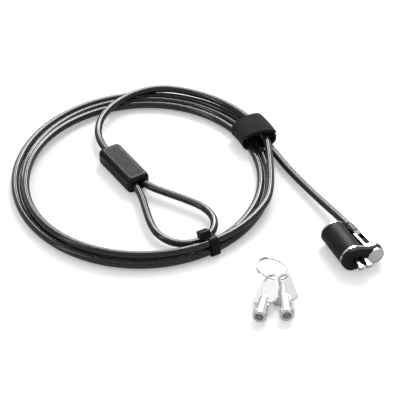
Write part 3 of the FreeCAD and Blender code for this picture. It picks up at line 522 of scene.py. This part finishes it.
def strap_material(color):
    """Brushed-loop tape: a close weave on the UV map, with a soft nap over it."""
    material, tree = new_material("Strap tape", color)
    weave = add(tree, "ShaderNodeTexBrick", {
        "Vector": add(tree, "ShaderNodeUVMap", uv_map="UVMap")[0], "Scale": 1 / MM,
        "Mortar Size": 0.12, "Mortar Smooth": 0.6, "Brick Width": 0.9, "Row Height": 0.45})
    grains = effect(tree, "Grain", {"Scale": 1500.0, "Cloud Scale": 200.0})
    nap = calc(tree, "MULTIPLY_ADD", weave["Fac"], -0.5, grains["Speckle"])
    dark, light = scaled_color(color, 0.6), scaled_color(color, 1.5)
    shade(tree, {
        "Base Color": blend_color(tree, between(tree, nap, 0.0, 1.0, 0.1, 0.7), dark, light),
        "Roughness": 0.85,
        "Normal": bump(tree, nap, 0.00012, 0.8),
        "Sheen Weight": 0.08,
        "Sheen Roughness": 0.5,
        "Specular IOR Level": 0.2,
    })
    return material


def disc_material(color):
    """The stem's round head: polished rim, and a matt spun face inside it."""
    material, tree = new_material("Swivel disc", color)
    lathe = {"X": DISC_AXIS[0] * MM, "Z": DISC_AXIS[1] * MM, "Rings a mm": 6.0}
    turned = effect(tree, "Turned", lathe)
    face = between(tree, turned["Radius mm"], 1.0, 0.0, *DISC_FACE_R)
    shade(tree, {
        "Base Color": blend_color(tree, face, color, DISC_FACE_COLOR),
        "Metallic": between(tree, face, 1.0, 0.25, 0.0, 1.0),
        "Roughness": between(tree, face, 0.16, 0.48, 0.0, 1.0),
        "Normal": bump(tree, turned["Mark"], 0.000015, 0.6),
    })
    return material


def finish(nodes, material):
    """Gives solids that keep their own shape a material on their object's slots."""
    for name in nodes:
        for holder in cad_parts[name].material_slots:
            holder.link = "OBJECT"
            holder.material = material


def dress(piece, material, body, slot, *nodes):
    """Puts a new piece in its body, in the place of the solids that it stands for."""
    piece.data.materials.append(material)
    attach(piece, body)
    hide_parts(*nodes)


# Settings

class CableSettings(PropertyGroup):
    diameter: FloatProperty(name="Diameter", description="Outside diameter of the jacket",
                            default=4.5 * MM, min=3.0 * MM, max=6.0 * MM, unit="LENGTH")
    strand_lay: FloatProperty(name="Lay", description="Length of one twist of the strands",
                              default=30.0 * MM, min=5.0 * MM, max=80.0 * MM, unit="LENGTH")
    jacket_color: FloatVectorProperty(name="Jacket", description="Colour of the jacket", size=3,
                                      subtype="COLOR", default=(0.003, 0.003, 0.0033))
    strand_color: FloatVectorProperty(name="Strands", description="Colour of the strands under the jacket",
                                      size=3, subtype="COLOR", default=(0.024, 0.024, 0.025))


class StrapSettings(PropertyGroup):
    width: FloatProperty(name="Width", description="Width of the tape",
                         default=17.5 * MM, min=10.0 * MM, max=40.0 * MM, unit="LENGTH")
    thickness: FloatProperty(name="Thickness", description="Thickness of the tape",
                             default=0.9 * MM, min=0.3 * MM, max=2.0 * MM, unit="LENGTH")
    color: FloatVectorProperty(name="Tape", description="Colour of the tape", size=3,
                               subtype="COLOR", default=(0.011, 0.011, 0.0115))


class RingSettings(PropertyGroup):
    radius: FloatProperty(name="Radius", description="Radius of the key ring, to its wire's middle",
                          default=9.4 * MM, min=5.0 * MM, max=20.0 * MM, unit="LENGTH")
    wire: FloatProperty(name="Wire", description="Radius of the ring's wire",
                        default=0.42 * MM, min=0.2 * MM, max=1.0 * MM, unit="LENGTH")
    sides: IntProperty(name="Sides", description="Faces round the wire", default=12, min=6, max=32)


class FinishSettings(PropertyGroup):
    black_paint: FloatVectorProperty(name="Barrel", description="Colour of the barrel's paint", size=3,
                                     subtype="COLOR", default=(0.016, 0.016, 0.0165))
    black_pad: FloatVectorProperty(name="Pad", description="Colour of the front pad", size=3,
                                   subtype="COLOR", default=(0.014, 0.014, 0.0145))
    black_plastic: FloatVectorProperty(name="Sleeve", description="Colour of the eye's sleeve", size=3,
                                       subtype="COLOR", default=(0.008, 0.008, 0.0085))
    bright: FloatVectorProperty(name="Trim", description="Colour of the bright trim", size=3,
                                subtype="COLOR", default=(0.8, 0.805, 0.815))
    nickel: FloatVectorProperty(name="Keys", description="Colour of the keys' plating", size=3,
                                subtype="COLOR", default=(0.92, 0.92, 0.925))
    steel: FloatVectorProperty(name="Steel", description="Colour of the ground steel parts", size=3,
                               subtype="COLOR", default=(0.68, 0.685, 0.7))
    brass: FloatVectorProperty(name="Brass", description="Colour of the pin lock's brass", size=3,
                               subtype="COLOR", default=(0.78, 0.6, 0.3))


class StageSettings(PropertyGroup):
    floor: FloatVectorProperty(name="Floor", description="Colour of the floor", size=3,
                               subtype="COLOR", default=(0.88, 0.88, 0.88))
    key_power: FloatProperty(name="Key light", description="Power of the main lamp",
                             default=8.0, min=0.0, max=100.0, unit="POWER")
    back_power: FloatProperty(name="Back light", description="Power of the wide lamp behind",
                              default=4.0, min=0.0, max=100.0, unit="POWER")
    surround: FloatProperty(name="Surround", description="Level of the light from all round",
                            default=0.6, min=0.0, max=2.0)
    mirrored_share: FloatProperty(name="Floor dimming", default=0.4, min=0.0, max=1.0,
                                  description="How much darker the floor is in polished parts",
                                  subtype="FACTOR")


# Operators

class LOCK_OT_stage(Operator):
    """Floor, lamps, surround and the camera at the photograph's angle"""
    bl_idname = "cable_lock.stage"
    bl_label = "Stage and camera"

    def execute(self, context):
        scene = context.scene
        settings = scene.lock_stage
        scene.view_settings.view_transform = "Standard"
        self.camera(scene)
        self.floor(scene, settings)
        self.world(scene, settings.surround)
        for lamp in LAMPS:
            self.lamp(scene, settings, *lamp)
        return {"FINISHED"}

    def camera(self, scene):
        data = bpy.data.cameras.new("Camera")
        data.lens, data.sensor_width = CAMERA_LENS, CAMERA_SENSOR
        camera = bpy.data.objects.new("Camera", data)
        camera.location = CAMERA_AT
        camera.rotation_euler = [math.radians(angle) for angle in CAMERA_TURN_DEG]
        scene.collection.objects.link(camera)
        scene.camera = camera

    def lamp(self, scene, settings, name, offset, size, power, share, mirrored):
        """An area lamp that faces the middle of the stage."""
        data = bpy.data.lights.new(name, "AREA")
        data.shape = "RECTANGLE"
        data.size, data.size_y = size
        data.energy = getattr(settings, power) * share
        lamp = bpy.data.objects.new(name, data)
        lamp.location = Vector(STAGE_MIDDLE) + Vector(offset)
        lamp.rotation_euler = (-Vector(offset)).to_track_quat("-Z", "Y").to_euler()
        lamp.visible_glossy = mirrored
        scene.collection.objects.link(lamp)

    def floor(self, scene, settings):
        """A pale floor that keeps shadows, glows a little and is dimmer in polished parts."""
        mesh = bpy.data.meshes.new("Floor")
        corners = [(x * FLOOR_HALF, y * FLOOR_HALF, FLOOR_Z)
                   for x, y in ((-1, -1), (1, -1), (1, 1), (-1, 1))]
        mesh.from_pydata(corners, [], [(0, 1, 2, 3)])
        floor = bpy.data.objects.new("Floor", mesh)
        scene.collection.objects.link(floor)
        material, tree = new_material("Floor", settings.floor)
        path = add(tree, "ShaderNodeLightPath")
        mirrored = calc(tree, "MULTIPLY", path["Is Glossy Ray"], settings.mirrored_share)
        shade(tree, {
            "Base Color": blend_color(tree, mirrored, settings.floor, (0.0, 0.0, 0.0)),
            "Roughness": 0.9,
            "Specular IOR Level": 0.0,
            "Emission Color": (1, 1, 1, 1),
            "Emission Strength": calc(tree, "MULTIPLY", seen_directly(tree, path), FLOOR_GLOW),
        })
        mesh.materials.append(material)

    def world(self, scene, level):
        """White to the camera, an even level on surfaces, and the screen to what mirrors it."""
        world = bpy.data.worlds.new("Surround")
        world.use_nodes = True
        tree = world.node_tree
        path = add(tree, "ShaderNodeLightPath")
        incoming = add(tree, "ShaderNodeNewGeometry")["Incoming"]
        toward = add(tree, "ShaderNodeVectorMath", {0: incoming, 1: SCREEN_TOWARD},
                     operation="DOT_PRODUCT")["Value"]
        off_hoop = calc(tree, "ADD", toward, math.cos(math.radians(HOOP_DEG)))
        screen = between(tree, toward, SCREEN_LEVEL, DARK_LEVEL, *SCREEN_EDGE)
        hoop = between(tree, calc(tree, "ABSOLUTE", off_hoop), HOOP_LEVEL, 0.0, *HOOP_EDGE)
        middle = between(tree, toward, MIDDLE_DIP, 0.0, *MIDDLE_EDGE)
        mirrored = calc(tree, "ADD", calc(tree, "ADD", screen, hoop), middle)
        lit = blend_value(tree, path["Is Glossy Ray"], level, mirrored)
        background = tree.nodes["Background"].inputs
        background["Color"].default_value = (1, 1, 1, 1)
        feed(tree, background["Strength"], blend_value(tree, seen_directly(tree, path), lit, 1.0))
        scene.world = world


class LOCK_OT_cable(Operator):
    """The whole cable, from the lock round the coil to its eye"""
    bl_idname = "cable_lock.cable"
    bl_label = "Cable"

    def execute(self, context):
        settings = context.scene.lock_cable
        diameter = rounded(settings.diameter)
        path = spline_through("Cable route", cable_route(), CABLE_STEPS)
        cable = tube("cable", path, diameter / 2, CABLE_SIDES)
        dress(cable, jacket_material(settings), "cable", "cable_jacket",
              "cable_lock_lead", "cable_coil", "cable_eye_lead", "cable_eye_loop")
        return {"FINISHED"}


class LOCK_OT_strap(Operator):
    """The tape strap, wrapped round the turns and lapped on itself"""
    bl_idname = "cable_lock.strap"
    bl_label = "Tape strap"

    def execute(self, context):
        settings = context.scene.lock_strap
        width = rounded(settings.width)
        section = strap_section()
        points = strap_points(section, width / MM)
        length = run_length(section)[-1] * MM
        u = np.linspace(0, length, STRAP_ROWS + 1)
        v = np.linspace(0, width, STRAP_COLUMNS + 1)
        strap = surface("strap", points, u, v)
        dress(strap, strap_material(settings.color), "cable", "strap_tape", "tape_strap")
        wall = strap.modifiers.new("Thickness", "SOLIDIFY")
        wall.thickness = settings.thickness
        wall.offset = 0.0
        soft = strap.modifiers.new("Edges", "BEVEL")
        soft.width = STRAP_EDGE_R * MM
        soft.segments = 2
        soft.limit_method = "ANGLE"
        return {"FINISHED"}


class LOCK_OT_fittings(Operator):
    """Finishes of the cable tie, the eye's sleeve, the crimp and the cable's end"""
    bl_idname = "cable_lock.fittings"
    bl_label = "Tie, sleeve and crimps"

    def execute(self, context):
        colors = context.scene.lock_finish
        finish(["cable_tie"], moulded("Tie nylon", colors.black_plastic, 0.34, 1500.0))
        finish(["eye_sleeve"], moulded("Sleeve plastic", colors.black_plastic, 0.3, 3000.0, 0.12))
        finish(["crimp_ferrule"], metal("Crimp aluminium", colors.steel, 0.34))
        finish(["cable_end_ferrule"], metal("Blackened fitting", scaled_color(colors.steel, 0.07), 0.3))
        return {"FINISHED"}


class LOCK_OT_shells(Operator):
    """Finishes of the barrel, the pad, the bright trim and the swivel"""
    bl_idname = "cable_lock.shells"
    bl_label = "Lock shells"

    def execute(self, context):
        colors = context.scene.lock_finish
        finish(["lock_housing"], moulded("Barrel paint", colors.black_paint, 0.44, 4200.0))
        finish(["front_pad"], moulded("Pad rubber", colors.black_pad, 0.5, 3600.0))
        finish(["rear_trim_ring", "front_plate"],
               metal("Bright trim", colors.bright, 0.12, HEAD_AXIS, 5.0))
        finish(["swivel_stem"], disc_material(tuple(colors.bright)))
        finish(["swivel_yoke", "yoke_cross_pin", "swivel_washer"],
               metal("Yoke plating", scaled_color(colors.bright, 0.62), 0.12))
        return {"FINISHED"}


class LOCK_OT_mechanism(Operator):
    """Finishes of the jaws, their drive and the pin lock"""
    bl_idname = "cable_lock.mechanism"
    bl_label = "Jaws and pin lock"

    def execute(self, context):
        colors = context.scene.lock_finish
        finish(["left_jaw", "right_jaw", "jaw_pivot_pins", "jaw_return_leaves", "jaw_cam"],
               metal("Jaw steel", colors.steel, 0.26, depth=3 * METAL_DEPTH, scratches=0.8))
        finish(["jaw_carrier"],
               metal("Carrier casting", scaled_color(colors.steel, 0.8), 0.45, depth=5 * METAL_DEPTH))
        finish(["lock_cylinder_body", "pin_bushing", "tumbler_pins", "driver_pins"],
               metal("Turned brass", colors.brass, 0.24, HEAD_AXIS, 4.0))
        finish(["lock_core", "tumbler_springs", "core_retaining_clip"],
               metal("Turned steel", colors.steel, 0.22, HEAD_AXIS, 5.0))
        return {"FINISHED"}


class LOCK_OT_ring(Operator):
    """The split key ring: one wire that laps itself on one side"""
    bl_idname = "cable_lock.ring"
    bl_label = "Key ring"

    def execute(self, context):
        settings = context.scene.lock_ring
        radius, wire = rounded(settings.radius), rounded(settings.wire)
        path, upward = ring_path(radius / MM, wire / MM)
        ring = tube("split_ring", path, wire, settings.sides, upward)
        steel = metal("Ring wire", scaled_color(context.scene.lock_finish.steel, 0.8), 0.3)
        dress(ring, steel, "ring", "ring_steel", "key_ring")
        return {"FINISHED"}


class LOCK_OT_keys(Operator):
    """Finish of the two keys"""
    bl_idname = "cable_lock.keys"
    bl_label = "Keys"

    def execute(self, context):
        nickel = context.scene.lock_finish.nickel
        finish(["left_key_bow", "left_key_barrel", "right_key_bow", "right_key_barrel"],
               metal("Key plating", nickel, 0.13, scratches=0.7, plated=0.7))
        return {"FINISHED"}


class LOCK_PT_panel(Panel):
    """Builds each piece of the cable lock"""
    bl_label = "Cable lock"
    bl_space_type = "VIEW_3D"
    bl_region_type = "UI"
    bl_category = "Cable lock"

    def draw(self, context):
        for name, group in GROUPS:
            box = self.layout.box()
            for setting in group.__annotations__:
                box.prop(getattr(context.scene, name), setting)
        for operator in OPERATORS:
            self.layout.operator(operator.bl_idname)


GROUPS = (
    ("lock_cable", CableSettings),
    ("lock_strap", StrapSettings),
    ("lock_ring", RingSettings),
    ("lock_finish", FinishSettings),
    ("lock_stage", StageSettings),
)
OPERATORS = (
    LOCK_OT_stage,
    LOCK_OT_cable,
    LOCK_OT_strap,
    LOCK_OT_fittings,
    LOCK_OT_shells,
    LOCK_OT_mechanism,
    LOCK_OT_ring,
    LOCK_OT_keys,
)


def register():
    for name, group in GROUPS:
        bpy.utils.register_class(group)
        setattr(bpy.types.Scene, name, PointerProperty(type=group))
    for operator in OPERATORS:
        bpy.utils.register_class(operator)
    bpy.utils.register_class(LOCK_PT_panel)


def unregister():
    bpy.utils.unregister_class(LOCK_PT_panel)
    for operator in reversed(OPERATORS):
        bpy.utils.unregister_class(operator)
    for name, group in reversed(GROUPS):
        delattr(bpy.types.Scene, name)
        bpy.utils.unregister_class(group)


def main():
    register()
    for operator in OPERATORS:
        folder, name = operator.bl_idname.split(".")
        getattr(getattr(bpy.ops, folder), name)()


if __name__ == "__main__":
    main()
